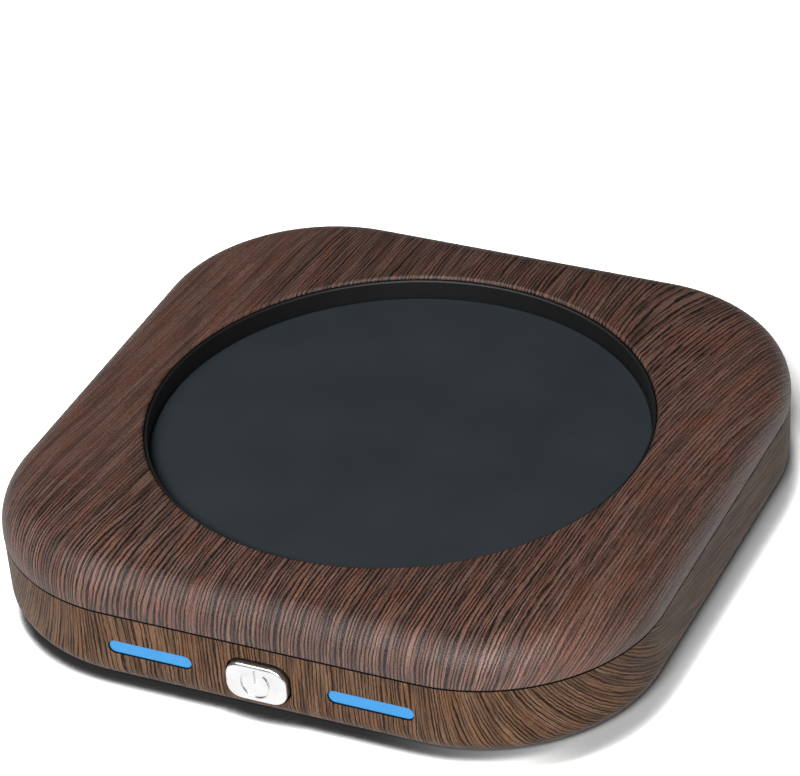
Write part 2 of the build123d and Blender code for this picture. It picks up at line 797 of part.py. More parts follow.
sub_parts = [
    top_cover, lower_housing, rubber_feet, cover_screws, cord_grommet,
    recess_liner, plate_seal, heating_plate, heater_element, insulation_pad, clamp_plate, clamp_screws,
    temperature_sensor, sensor_clip, clip_rivets, thermal_fuse, fuse_sleeve, fuse_clip,
    control_board, board_screws, heater_terminal, input_terminal, mains_fuse, varistor, film_capacitor,
    reservoir_capacitor, bridge_rectifier, triac, microcontroller, supply_inductor,
    sensor_socket, indicator_socket, harness_plug, indicator_board, status_leds,
    tact_switch, switch_plunger, light_baffle, light_bar_left, light_bar_right, power_button,
    heater_leads, sensor_leads, indicator_harness,
]

for make in sub_parts:
    piece = make()
    shape = Compound(children=piece) if isinstance(piece, list) else piece
    export_step(shape, f"parts/{make.__name__}.step")
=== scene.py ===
"""How the electric mug warmer looks: its wood-film case, and a finish for every piece of the frame."""

import json
import math

import bmesh
import bpy
from mathutils import Matrix, Vector


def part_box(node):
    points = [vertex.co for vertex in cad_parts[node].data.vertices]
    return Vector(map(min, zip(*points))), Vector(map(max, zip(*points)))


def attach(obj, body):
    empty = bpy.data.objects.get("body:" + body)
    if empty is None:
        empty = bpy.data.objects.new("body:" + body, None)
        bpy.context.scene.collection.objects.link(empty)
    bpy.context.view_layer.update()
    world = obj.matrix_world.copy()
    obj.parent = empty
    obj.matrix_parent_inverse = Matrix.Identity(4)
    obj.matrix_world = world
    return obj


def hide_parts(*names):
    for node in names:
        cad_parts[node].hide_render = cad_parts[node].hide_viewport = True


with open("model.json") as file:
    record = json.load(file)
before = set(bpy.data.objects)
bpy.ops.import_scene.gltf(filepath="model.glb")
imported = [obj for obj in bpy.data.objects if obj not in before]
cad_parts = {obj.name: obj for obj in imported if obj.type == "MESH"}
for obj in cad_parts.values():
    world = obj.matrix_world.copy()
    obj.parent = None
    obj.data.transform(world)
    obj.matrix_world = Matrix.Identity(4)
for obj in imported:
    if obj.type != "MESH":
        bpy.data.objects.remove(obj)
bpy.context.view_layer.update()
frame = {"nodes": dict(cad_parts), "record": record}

MM = 0.001

# ---- Sizes of the case, in millimetres -------------------------------------------------------
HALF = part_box("top_cover")[1].x / MM
TOP_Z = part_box("top_cover")[1].z / MM
LIP_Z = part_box("top_cover")[0].z / MM
UNDERSIDE_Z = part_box("lower_housing")[0].z / MM
TONGUE_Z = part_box("lower_housing")[1].z / MM
CORNER_R = 33.8
CORE = HALF - CORNER_R          # half width of the square that the corner arcs are centred on
WALL = 2.4
PARTING_GAP = 0.3
PARTING_Z = LIP_Z - PARTING_GAP

# Top cover
SHOULDER_R = 7.0                # the crown's tight outer arc
CROWN_ANGLE = math.radians(8)   # how steep the crown still is after the tight arc
CROWN_R = 53.4                  # the crown's wide inner arc
INNER_SHOULDER_R = 3.6
LIP_EDGE = 0.3                  # rounding of the cover's lower edge
SKIRT = 1.25                    # thickness of the skirt that hangs over the tongue
STEP_Z = 19.0                   # top of the groove that takes the tongue
COVER_BORE_R = 48.6
RIM_ROUND = 0.7                 # rounding of the edge round the recess
RECESS_WALL_R = 51.0
LINER_SEAT_Z = 21.2             # where the recess liner's flange seats

# Lower housing
TOP_INSET = 0.1                 # the housing sits this far inside the cover's lip
SIDE_DRAFT = 0.3                # the sides lean in by this much towards the bottom
BOTTOM_ROUND = 5.0
BOTTOM_ROUND_IN = 2.0
TONGUE_OUT = 1.45               # inset of the tongue's outer face
FLOOR_Z = 2.9
FLOOR_INSET = 12.0              # where the rounded wall meets the flat floor

# Posts, screw wells and feet, each mirrored to four places
COVER_SCREW = (53.5, 33.0)
COVER_POST_R = 3.5
CLAMP_SCREW = (52.6, 19.2)
CLAMP_POST_R = 3.2
CLAMP_POST_Z = 16.7
PILOT_R = 1.55
SCREW_WELL_R = 3.2
SCREW_SEAT_Z = 4.9
SCREW_HOLE_R = 1.75
SCREW_WAY_Z = 7.0               # how high the screw's hole is cut, well past the floor
FOOT = (45.5, 45.5)
FOOT_WELL_R = 6.1
FOOT_WELL_Z = 1.7

# Openings in the walls
CONTROL_Z = 9.3                 # height of the power button and the light bars
BAR_X = 22.0
BAR_SLOT = (17.0, 2.9)
BUTTON_OPENING = (12.9, 8.6)
BUTTON_CORNER = 3.4
FRONT_CUT = (-66.5, -61.5)      # where the cuts through the front wall start and end
CORD_Z = 10.2
CORD_HOLE_R = 5.1
CORD_FLANGE_R = 6.2
CORD_CUT = (61.0, 64.0, 66.5)   # inside the rear wall, the flange's seat, and past the outside

# How finely the case is drawn
CORNER_STEPS = 28               # edges round each corner of the outline
SIDE_STEPS = 28                 # edges along each straight side
ARC_STEP = math.radians(6)      # longest stretch of a section's arc between two points
TURN_STEPS = 48                 # faces round a turned shape
CORNER_FACES = 10               # edges round each corner of an opening
JOINED = 0.001 * MM             # points closer than this are one
LEVEL = 0.0001                  # heights closer than this are the same
NO_LENGTH = 1e-6                # a direction shorter than this is none


# ---- Meshes ----------------------------------------------------------------------------------
def arc(centre, radius, start, end):
    """Points (x, y) round an arc from one angle to another, both ends included."""
    steps = max(2, math.ceil(abs(end - start) / ARC_STEP))
    angles = [start + (end - start) * i / steps for i in range(steps + 1)]
    return [(centre[0] + radius * math.cos(a), centre[1] + radius * math.sin(a)) for a in angles]


def core_point(place):
    """The point of the core square that a place on the outline is measured from, in millimetres."""
    return Vector((max(-CORE, min(CORE, place.x)), max(-CORE, min(CORE, place.y))))


def facing(place):
    """The outline's outward direction at a place, or none inside the core square."""
    outward = place.xy - core_point(place)
    return outward.normalized() if outward.length > NO_LENGTH else Vector((0, 0))


def inset_of(place):
    """How far in from the outline a place lies."""
    return CORNER_R - (place.xy - core_point(place)).length


def drawn_in(vertex, inset, z):
    """Where a vertex of the outline goes when the outline is drawn in by an inset, at height z."""
    place = vertex / MM
    spot = core_point(place) + facing(place) * (CORNER_R - inset)
    return Vector((spot.x, spot.y, z)) * MM


def outline_loop(bm, inset, z):
    """The case's outline, drawn in by an inset at height z, as one closed loop of edges."""
    bmesh.ops.create_grid(bm, x_segments=1, y_segments=1, size=HALF * MM)
    bmesh.ops.bevel(
        bm, geom=bm.verts[:], offset=CORNER_R * MM, affect="VERTICES",
        segments=CORNER_STEPS, profile=0.5, material=-1)
    sides = [e for e in bm.edges if e.calc_length() > CORE * MM]
    bmesh.ops.subdivide_edges(bm, edges=sides, cuts=SIDE_STEPS - 1)
    bmesh.ops.delete(bm, geom=bm.faces[:], context="FACES_ONLY")
    for vert in bm.verts:
        vert.co = drawn_in(vert.co, inset, z)
    return bm.edges[:]


def carried(bm, loop, stations):
    """Extrude a loop of edges from station to station, each (way of placing, its size, height)."""
    for way, size, z in stations:
        made = bmesh.ops.extrude_edge_only(bm, edges=loop)["geom"]
        loop = [e for e in made if isinstance(e, bmesh.types.BMEdge)]
        for vert in [v for v in made if isinstance(v, bmesh.types.BMVert)]:
            vert.co = way(vert.co, size, z)
    return loop


def drawn_ring(vertex, radius, z):
    """Where a vertex goes on a circle about the Z axis, in the same direction, at height z."""
    spot = vertex.xy.normalized() * radius
    return Vector((spot.x, spot.y, z)) * MM


def turned(bm, profile, x=0.0, y=0.0):
    """Spin a closed profile of (radius, height) points about an upright axis."""
    verts = [bm.verts.new(Vector((x + r, y, z)) * MM) for r, z in profile]
    edges = [bm.edges.new((a, b)) for a, b in zip(verts, verts[1:] + verts[:1])]
    bmesh.ops.spin(
        bm, geom=verts + edges, cent=Vector((x, y, 0)) * MM, axis=(0, 0, 1), dvec=(0, 0, 0),
        angle=2 * math.pi, steps=TURN_STEPS, use_merge=True, use_duplicate=False)
    bmesh.ops.remove_doubles(bm, verts=bm.verts[:], dist=JOINED)


def boss(bm, x, y, outer_r, inner_r, low, high):
    """An upright tube, such as the post that a screw goes into."""
    turned(bm, [(inner_r, low), (outer_r, low), (outer_r, high), (inner_r, high)], x, y)


def four(x, y):
    """The four places that mirror one place in both planes."""
    return [(x, y), (-x, y), (-x, -y), (x, -y)]


def object_from(bm, name):
    """A new object with the bmesh as its mesh, its faces pointing outwards."""
    bmesh.ops.recalc_face_normals(bm, faces=bm.faces[:])
    mesh = bpy.data.meshes.new(name)
    bm.to_mesh(mesh)
    bm.free()
    made = bpy.data.objects.new(name, mesh)
    bpy.context.scene.collection.objects.link(made)
    return made


def shaded(obj, sharp_degrees=28):
    """Smooth shading, apart from edges sharper than an angle."""
    bm = bmesh.new()
    bm.from_mesh(obj.data)
    for face in bm.faces:
        face.smooth = True
    for edge in bm.edges:
        edge.smooth = edge.calc_face_angle(0) < math.radians(sharp_degrees)
    bm.to_mesh(obj.data)
    bm.free()
    weighted = obj.modifiers.new("even_shading", "WEIGHTED_NORMAL")
    weighted.keep_sharp = True


def fitted(obj, body, slot, *nodes):
    """The piece moves with a body and stands for these nodes of the frame. slot is not used."""
    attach(obj, body)
    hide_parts(*nodes)


# ---- The wood-film case ----------------------------------------------------------------------
def crown_points():
    """Outside of the cover's section, from the lip to the flat top, as (inset, height, run).
    run is how far along the surface a point lies from the flat top."""
    turn = CROWN_ANGLE
    shoulder_z = TOP_Z - SHOULDER_R * math.cos(turn) - CROWN_R * (1 - math.cos(turn))
    up = math.pi / 2
    crown_at = (SHOULDER_R + (CROWN_R - SHOULDER_R) * math.sin(turn),
                shoulder_z + (SHOULDER_R - CROWN_R) * math.cos(turn))
    points = arc((LIP_EDGE, LIP_Z + LIP_EDGE), LIP_EDGE, -up, -2 * up)
    points += arc((SHOULDER_R, shoulder_z), SHOULDER_R, 2 * up, up + turn)
    points += arc(crown_at, CROWN_R, up + turn, up)[1:]
    runs = [0.0]
    for a, b in zip(points[::-1], points[-2::-1]):
        runs.append(runs[-1] + math.dist(a, b))
    return [(inset, z, run) for (inset, z), run in zip(points, runs[::-1])]


def film_uv(obj, across, along):
    """Lay the film on a piece: across and along give the film's coordinates at a place."""
    layer = obj.data.uv_layers.new(name="film")
    for loop in obj.data.loops:
        place = obj.data.vertices[loop.vertex_index].co / MM
        layer.data[loop.index].uv = (across(place) * MM, along(place) * MM)


def wood_cover():
    """The top moulding: crowned edge, flat top and the bore that the recess liner fills."""
    crown = crown_points()
    flat_inset = crown[-1][0]
    under_z = TOP_Z - WALL
    up = math.pi / 2
    inside = arc((WALL + INNER_SHOULDER_R, STEP_Z), INNER_SHOULDER_R, up + CROWN_ANGLE, 2 * up)
    section = inside + [(SKIRT, STEP_Z), (SKIRT, LIP_Z)] + [point[:2] for point in crown]
    rim = arc((COVER_BORE_R + RIM_ROUND, TOP_Z - RIM_ROUND), RIM_ROUND, 2 * up, up)
    bore = [
        (RECESS_WALL_R, under_z), (RECESS_WALL_R, LINER_SEAT_Z), (COVER_BORE_R, LINER_SEAT_Z)] + rim
    bm = bmesh.new()
    square = outline_loop(bm, flat_inset, under_z)
    carried(bm, square, [(drawn_in, *point) for point in section] + [(drawn_ring, *rim[-1])])
    carried(bm, square, [(drawn_ring, *point) for point in bore])
    bmesh.ops.remove_doubles(bm, verts=bm.verts[:], dist=JOINED)
    for x, y in four(*COVER_SCREW):
        boss(bm, x, y, COVER_POST_R, PILOT_R, LIP_Z, under_z)
    for x, y in four(*CLAMP_SCREW):
        boss(bm, x, y, CLAMP_POST_R, PILOT_R, CLAMP_POST_Z, under_z)
    cover = object_from(bm, "wood_cover")
    run_at = sorted((z, run) for _, z, run in crown)

    def run(place):
        """How far along the surface a place lies beyond the flat top."""
        if inset_of(place) > flat_inset:
            return 0.0
        below = [pair for pair in run_at if pair[0] <= place.z + LEVEL] or run_at[:1]
        return below[-1][1]

    def rolled_out(place):
        """Where a place would lie if the crowned edge were rolled out flat."""
        reach = CORNER_R - max(inset_of(place), flat_inset) + run(place)
        return core_point(place) + facing(place) * reach

    film_uv(cover, lambda p: rolled_out(p).x, lambda p: rolled_out(p).y)
    shaded(cover)
    # The film lies on what faces up or outwards; the inside stays bare.
    printed(cover, lambda p, out, up, inset: up > 0.1 or out > 0.1 and inset < SKIRT)
    fitted(cover, "case", "wood_film", "top_cover")
    return cover


def printed(obj, shows):
    """Give a piece's faces the second of its materials, bare plastic painted near-black as shade, but where
    the film shows.
    shows takes a face's place, how far it faces outward and upward, and its inset."""
    for face in obj.data.polygons:
        place = face.center / MM
        out = face.normal.xy.dot(facing(place))
        face.material_index = 0 if shows(place, out, face.normal.z, inset_of(place)) else 1


def prism(bm, width, height, corner, x, z):
    """A rounded rectangle seen from the front, pushed back through the front wall."""
    made = bmesh.ops.create_grid(bm, x_segments=1, y_segments=1, size=0.5)["verts"]
    bmesh.ops.scale(bm, vec=(width * MM, height * MM, 1), verts=made)
    bevelled = bmesh.ops.bevel(
        bm, geom=made, offset=corner * MM, affect="VERTICES", segments=CORNER_FACES, profile=0.5,
        material=-1)
    beside = [face for vert in bevelled["verts"] for face in vert.link_faces]
    outline = max(bevelled["faces"] + beside, key=lambda face: len(face.verts))
    front, back = FRONT_CUT
    upright = Matrix.Translation(Vector((x, front, z)) * MM) @ Matrix.Rotation(math.pi / 2, 4, "X")
    bmesh.ops.transform(bm, matrix=upright, verts=outline.verts[:])
    pushed = bmesh.ops.extrude_face_region(bm, geom=[outline])["geom"]
    moved = [v for v in pushed if isinstance(v, bmesh.types.BMVert)]
    bmesh.ops.translate(bm, vec=(0, (back - front) * MM, 0), verts=moved)


def cut(obj, cutters):
    """Take the cutters' shapes out of a piece, and remove the cutters."""
    for cutter in cutters:
        modifier = obj.modifiers.new("opening", "BOOLEAN")
        modifier.operation = "DIFFERENCE"
        modifier.solver = "EXACT"
        modifier.object = cutter
    bpy.context.view_layer.update()
    evaluated = obj.evaluated_get(bpy.context.evaluated_depsgraph_get())
    opened = bpy.data.meshes.new_from_object(evaluated)
    obj.modifiers.clear()
    obj.data = opened
    for cutter in cutters:
        bpy.data.objects.remove(cutter)


def front_openings():
    """What is cut out of the front wall: the light bars' slots and the power button's opening."""
    bm = bmesh.new()
    for side in (-1, 1):
        prism(bm, *BAR_SLOT, BAR_SLOT[1] / 2, side * BAR_X, CONTROL_Z)
    prism(bm, *BUTTON_OPENING, BUTTON_CORNER, 0, CONTROL_Z)
    return object_from(bm, "front_openings")


def wells():
    """What is cut out of the floor: the screws' counterbored holes and the feet's pockets."""
    bm = bmesh.new()
    screw_hole = [
        (0, 0), (SCREW_WELL_R, 0), (SCREW_WELL_R, SCREW_SEAT_Z), (SCREW_HOLE_R, SCREW_SEAT_Z),
        (SCREW_HOLE_R, SCREW_WAY_Z), (0, SCREW_WAY_Z)]
    for x, y in four(*COVER_SCREW):
        turned(bm, screw_hole, x, y)
    for x, y in four(*FOOT):
        turned(bm, [(0, 0), (FOOT_WELL_R, 0), (FOOT_WELL_R, FOOT_WELL_Z), (0, FOOT_WELL_Z)], x, y)
    return object_from(bm, "wells")


def cord_hole():
    """What is cut out of the rear wall: the stepped hole that the cord's grommet sits in."""
    inside, seat, outside = CORD_CUT
    bm = bmesh.new()
    turned(bm, [
        (0, inside), (CORD_HOLE_R, inside), (CORD_HOLE_R, seat), (CORD_FLANGE_R, seat),
        (CORD_FLANGE_R, outside), (0, outside)])
    backward = Matrix.Translation((0, 0, CORD_Z * MM)) @ Matrix.Rotation(-math.pi / 2, 4, "X")
    bmesh.ops.transform(bm, matrix=backward, verts=bm.verts[:])
    return object_from(bm, "cord_hole")


def wood_housing():
    """The lower moulding: a tray with a rounded bottom edge, and the openings for what shows in it."""
    up = math.pi / 2
    outer_at = (TOP_INSET + SIDE_DRAFT + BOTTOM_ROUND, UNDERSIDE_Z + BOTTOM_ROUND)
    inner_at = (WALL + SIDE_DRAFT + BOTTOM_ROUND_IN, FLOOR_Z + BOTTOM_ROUND_IN)
    outer = arc(outer_at, BOTTOM_ROUND, 2 * up, 3 * up)
    inner = arc(inner_at, BOTTOM_ROUND_IN, 3 * up, 2 * up)
    section = inner + [
        (WALL, PARTING_Z), (WALL, TONGUE_Z), (TONGUE_OUT, TONGUE_Z), (TONGUE_OUT, PARTING_Z),
        (TOP_INSET, PARTING_Z)] + outer + [(FLOOR_INSET, UNDERSIDE_Z)]
    bm = bmesh.new()
    middle = outline_loop(bm, FLOOR_INSET, FLOOR_Z)
    bottom = carried(bm, middle, [(drawn_in, *point) for point in section])
    bmesh.ops.edgeloop_fill(bm, edges=middle)
    bmesh.ops.edgeloop_fill(bm, edges=bottom)
    housing = object_from(bm, "wood_housing")
    cut(housing, [front_openings(), wells(), cord_hole()])

    fan = 0.3

    def rise(place):
        """How far up the wall a place lies, which is how far the film is rolled out there."""
        return place.z - UNDERSIDE_Z

    def across(place):
        """Across the film: it is drawn round the corners, so the grain fans out along the sides."""
        out = facing(place).x
        return place.x + out * rise(place) + fan * out * abs(out) * (place.y + CORE)

    film_uv(housing, across, lambda p: p.y + facing(p).y * rise(p))
    shaded(housing)
    # The film lies on the outer wall and its rounded bottom edge, and on what faces outwards in the
    # wells; the flat underside and the inside stay bare.
    printed(housing, lambda p, out, up, inset: out > 0.35 and (inset < WALL or p.z < FLOOR_Z))
    fitted(housing, "case", "wood_film", "lower_housing")
    return housing


# ---- Materials -------------------------------------------------------------------------------
# Settings that several nodes share
EASED = {"interpolation_type": "SMOOTHSTEP"}
NUMBERS = {"data_type": "FLOAT"}
COLOURS = {"data_type": "RGBA"}
TIMES = {"operation": "MULTIPLY"}
TIMES_PLUS = {"operation": "MULTIPLY_ADD"}


def colour(code):
    """An sRGB hex colour as the linear colour that the shaders take."""
    parts = [int(code[i:i + 2], 16) / 255 for i in (1, 3, 5)]
    return [c / 12.92 if c <= 0.04045 else ((c + 0.055) / 1.055) ** 2.4 for c in parts] + [1.0]


def add(tree, kind, settings=None, inputs=None):
    """Add a node, with its settings, and each input's value or what feeds it: an output, or a node,
    which feeds it with its first output in use."""
    made = tree.nodes.new(kind)
    for name, value in (settings or {}).items():
        setattr(made, name, value)
    for name, value in (inputs or {}).items():
        if isinstance(value, bpy.types.Node):
            value = next(output for output in value.outputs if output.enabled)
        if isinstance(value, bpy.types.NodeSocket):
            tree.links.new(value, made.inputs[name])
        else:
            made.inputs[name].default_value = value
    return made


def new_material(name):
    """A material without nodes, and its node tree."""
    made = bpy.data.materials.new(name)
    made.use_nodes = True
    made.node_tree.nodes.clear()
    return made, made.node_tree


def wood_film(name, pale, deep, rust, ink, spacing, play, gloss, seed):
    """Hydro-dipped wood-grain film under a satin lacquer: dark walnut, with pore streaks in near-black
    ink. The print is laid on the film's own coordinates, with the grain along V. spacing is between
    streaks, in millimetres; play, 0 or 1, is how far the print changes over the piece."""
    made, tree = new_material(name)
    film = add(tree, "ShaderNodeUVMap", {"uv_map": "film"})
    across, along = add(tree, "ShaderNodeSeparateXYZ", inputs={0: film}).outputs[:2]

    def print_noise(vector, width, length, detail, offset):
        """Noise whose marks are about width by length millimetres, across and along the grain."""
        stretched = add(tree, "ShaderNodeMapping", inputs={
            "Vector": vector, "Scale": (1 / (width * MM), 1 / (length * MM), 1),
            "Location": (offset, seed, 0)})
        return add(tree, "ShaderNodeTexNoise", {"noise_dimensions": "2D"}, {
            "Vector": stretched, "Scale": 1.0, "Detail": detail, "Roughness": 0.5})

    def shift(vector, amount):
        """Push the print sideways by an amount in metres."""
        push = add(tree, "ShaderNodeCombineXYZ", inputs={0: amount})
        return add(tree, "ShaderNodeVectorMath", {"operation": "ADD"}, {0: vector, 1: push})

    def sway(vector, width, length, reach, offset):
        """Let the print wander sideways over a reach in millimetres."""
        wander = print_noise(vector, width, length, detail=1, offset=offset)
        return shift(vector, add(tree, "ShaderNodeMath", TIMES_PLUS, {
            0: wander, 1: reach * MM, 2: -reach * MM / 2}))

    # The grain leans to the right towards the back right corner, and evenly along the left side.
    right = add(tree, "ShaderNodeMapRange", EASED, {
        "Value": across, "From Min": 20 * MM, "From Max": 50 * MM, "To Max": -1.6})
    left = add(tree, "ShaderNodeMapRange", EASED, {
        "Value": across, "From Min": -15 * MM, "From Max": -40 * MM, "To Max": -0.09})
    rise = add(tree, "ShaderNodeMath", {"operation": "ADD"}, {0: along, 1: 30 * MM})
    rise = add(tree, "ShaderNodeMath", {"operation": "MAXIMUM"}, {0: rise, 1: 0.0})
    curved = add(tree, "ShaderNodeMath", TIMES, {0: rise, 1: rise})
    lean_right = add(tree, "ShaderNodeMath", TIMES, {0: curved, 1: right})
    lean = add(tree, "ShaderNodeMath", TIMES_PLUS, {0: along, 1: left, 2: lean_right})
    wavy = sway(shift(film, lean), width=30, length=50, reach=1.6, offset=6.2)
    wavy = sway(wavy, width=1.6, length=2.6, reach=0.26, offset=8.1)

    # Streaks are long for the most part, heavier in front, and short on the right.
    broken = add(tree, "ShaderNodeMapRange", EASED, {
        "Value": across, "From Min": 26 * MM, "From Max": 46 * MM, "To Max": play})
    front = add(tree, "ShaderNodeMapRange", EASED, {
        "Value": along, "From Min": -38 * MM, "From Max": -56 * MM, "To Max": play})
    weight = add(tree, "ShaderNodeMix", NUMBERS, {
        0: broken, 2: print_noise(wavy, width=1.6, length=14, detail=2, offset=11.4),
        3: print_noise(wavy, width=1.0, length=4, detail=1, offset=3.1)})
    weight = add(tree, "ShaderNodeMath", TIMES_PLUS, {0: front, 1: 0.12, 2: weight})
    weight = add(tree, "ShaderNodeMath", {"operation": "MINIMUM"}, {0: weight, 1: 0.68})

    def pores(vector):
        """Dark lines a spacing apart on the whole, drawn together and apart, that swell and fade."""
        sideways = add(tree, "ShaderNodeSeparateXYZ", inputs={0: vector}).outputs[0]
        crowded = print_noise(vector, width=2.4, length=34, detail=1, offset=9.3)
        crowded = add(tree, "ShaderNodeMath", TIMES, {0: crowded, 1: 2.0})
        phase = add(tree, "ShaderNodeMath", TIMES_PLUS, {0: sideways, 1: 1 / (spacing * MM), 2: crowded})
        wave = add(tree, "ShaderNodeMath", {"operation": "PINGPONG"}, {0: phase, 1: 0.5})
        above = add(tree, "ShaderNodeMath", TIMES_PLUS, {0: weight, 1: -0.5, 2: wave})
        return add(tree, "ShaderNodeMapRange", EASED, {
            "Value": above, "From Min": -0.03, "From Max": -0.17})

    # The ink: sharp pores and softer hairlines, thin in a calm patch on the left and at the right
    # edge, and broken up by the print's own grain.
    hairs = add(tree, "ShaderNodeMapRange", EASED, {
        "Value": print_noise(wavy, width=0.26, length=11, detail=1, offset=17.8),
        "From Min": 0.5, "From Max": 0.72, "To Max": 0.75})
    drawn = add(tree, "ShaderNodeMath", {"operation": "MAXIMUM"}, {0: pores(wavy), 1: hairs})
    left_edge = add(tree, "ShaderNodeMapRange", EASED, {
        "Value": across, "From Min": -34 * MM, "From Max": -50 * MM, "To Max": -0.6})
    past_front = add(tree, "ShaderNodeMapRange", EASED, {
        "Value": along, "From Min": -48 * MM, "From Max": -34 * MM})
    calm = add(tree, "ShaderNodeMath", TIMES_PLUS, {0: left_edge, 1: past_front, 2: 1.0})
    thinned = add(tree, "ShaderNodeMapRange", EASED, {
        "Value": across, "From Min": 44 * MM, "From Max": 56 * MM, "To Min": 1.0, "To Max": 1 - 0.3 * play})
    grainy = print_noise(wavy, width=0.22, length=1.4, detail=1, offset=2.2)
    gritty = add(tree, "ShaderNodeMapRange", EASED, {
        "Value": grainy, "From Min": 0.2, "From Max": 0.45, "To Min": 0.72, "To Max": 1.0})
    for share in (calm, thinned, gritty):
        drawn = add(tree, "ShaderNodeMath", TIMES, {0: drawn, 1: share})

    # The ground: deep and pale walnut in long clouds, rust in shorter ones.
    share = add(tree, "ShaderNodeMapRange", EASED, {
        "Value": print_noise(wavy, width=1.4, length=24, detail=2, offset=1.3),
        "From Min": 0.3, "From Max": 0.7})
    ground = add(tree, "ShaderNodeMix", COLOURS, {0: share, 6: colour(deep), 7: colour(pale)})
    share = add(tree, "ShaderNodeMapRange", EASED, {
        "Value": print_noise(wavy, width=3.2, length=12, detail=2, offset=4.4),
        "From Min": 0.45, "From Max": 0.7, "To Max": 0.65})
    ground = add(tree, "ShaderNodeMix", COLOURS, {0: share, 6: ground, 7: colour(rust)})

    # Its brightness: the print's grain; the lacquer's speckle, painted in as the shade of its bumps; a
    # painted highlight beside each short streak on the right, as if embossed; and a paler front.
    speckle = add(tree, "ShaderNodeTexNoise", inputs={
        "Vector": add(tree, "ShaderNodeTexCoord").outputs["Object"], "Scale": 1 / (0.36 * MM),
        "Detail": 2.0, "Roughness": 0.6})
    grain_light = add(tree, "ShaderNodeMapRange", EASED, {
        "Value": grainy, "From Min": 0.25, "From Max": 0.75, "To Min": 1.14, "To Max": 0.86})
    # Painted shade: the colour lightens and darkens with the lacquer's bumps.
    painted_speckle_shade = add(tree, "ShaderNodeMapRange", EASED, {
        "Value": speckle, "From Min": 0.3, "From Max": 0.7, "To Min": 0.87, "To Max": 1.13})
    # Painted highlight: a pale line beside each short streak on the right, as if the streaks were embossed.
    painted_emboss_highlight = add(tree, "ShaderNodeMath", TIMES, {0: pores(shift(wavy, 0.28 * MM)), 1: broken})
    bright = add(tree, "ShaderNodeMath", TIMES, {0: grain_light, 1: painted_speckle_shade})
    bright = add(tree, "ShaderNodeMath", TIMES_PLUS, {0: painted_emboss_highlight, 1: 0.4, 2: bright})
    front_light = add(tree, "ShaderNodeMath", TIMES_PLUS, {0: front, 1: 0.38, 2: 1.04})
    bright = add(tree, "ShaderNodeMath", TIMES, {0: bright, 1: front_light})
    ground = add(tree, "ShaderNodeVectorMath", {"operation": "SCALE"}, {0: ground, "Scale": bright})

    # The lacquer: satin, with a speckled surface that sinks a little over the ink.
    height = add(tree, "ShaderNodeMath", TIMES_PLUS, {0: drawn, 1: -0.3, 2: speckle})
    bump = add(tree, "ShaderNodeBump", inputs={"Strength": 1.0, "Distance": 0.12 * MM, "Height": height})
    rough = add(tree, "ShaderNodeMapRange", EASED, {
        "Value": speckle, "From Min": 0.3, "From Max": 0.7, "To Min": 0.44, "To Max": 0.58})
    tint = add(tree, "ShaderNodeMix", COLOURS, {0: drawn, 6: ground, 7: colour(ink)})
    shader = add(tree, "ShaderNodeBsdfPrincipled", inputs={
        "Base Color": tint, "Specular IOR Level": gloss, "Roughness": rough, "Normal": bump})
    add(tree, "ShaderNodeOutputMaterial", inputs={"Surface": shader})
    return made


def plain_finish(name, pale, deep, grain, patch, rough, bump=0.2, metallic=0.0, ior=1.5):
    """A finish of one substance: colour that drifts over patches, and a fine surface grain.
    grain and patch are sizes in millimetres; rough is the range of roughness."""
    made, tree = new_material(name)
    place = add(tree, "ShaderNodeTexCoord").outputs["Object"]
    broad = add(tree, "ShaderNodeTexNoise", inputs={
        "Vector": place, "Scale": 1 / (patch * MM), "Detail": 3.0})
    fine = add(tree, "ShaderNodeTexNoise", inputs={
        "Vector": place, "Scale": 1 / (grain * MM), "Detail": 2.0})
    mixed = add(tree, "ShaderNodeMath", TIMES_PLUS, {0: fine, 1: 0.35, 2: broad})
    share = add(tree, "ShaderNodeMapRange", inputs={"Value": mixed, "From Min": 0.45, "From Max": 0.9})
    tint = add(tree, "ShaderNodeMix", COLOURS, {0: share, 6: colour(deep), 7: colour(pale)})
    sheen = add(tree, "ShaderNodeMapRange", inputs={
        "Value": fine, "From Min": 0.3, "From Max": 0.7, "To Min": rough[0], "To Max": rough[1]})
    relief = add(tree, "ShaderNodeBump", inputs={
        "Strength": bump, "Distance": grain * 0.15 * MM, "Height": fine})
    shader = add(tree, "ShaderNodeBsdfPrincipled", inputs={
        "Base Color": tint, "Roughness": sheen, "Metallic": metallic, "IOR": ior, "Normal": relief})
    add(tree, "ShaderNodeOutputMaterial", inputs={"Surface": shader})
    return made


def lit_guide():
    """Blue polycarbonate light guide with its lamps on: an even glow with faint clouds in it."""
    made, tree = new_material("lit_polycarbonate")
    place = add(tree, "ShaderNodeTexCoord").outputs["Object"]
    cloud = add(tree, "ShaderNodeTexNoise", inputs={"Vector": place, "Scale": 1 / (3 * MM)})
    glow = add(tree, "ShaderNodeMix", COLOURS, {0: cloud, 6: colour("#1F8AC6"), 7: colour("#339DD0")})
    shader = add(tree, "ShaderNodeBsdfPrincipled", inputs={
        "Base Color": colour("#10406E"), "Roughness": 0.3, "Emission Color": glow,
        "Emission Strength": 0.8})
    add(tree, "ShaderNodeOutputMaterial", inputs={"Surface": shader})
    return made


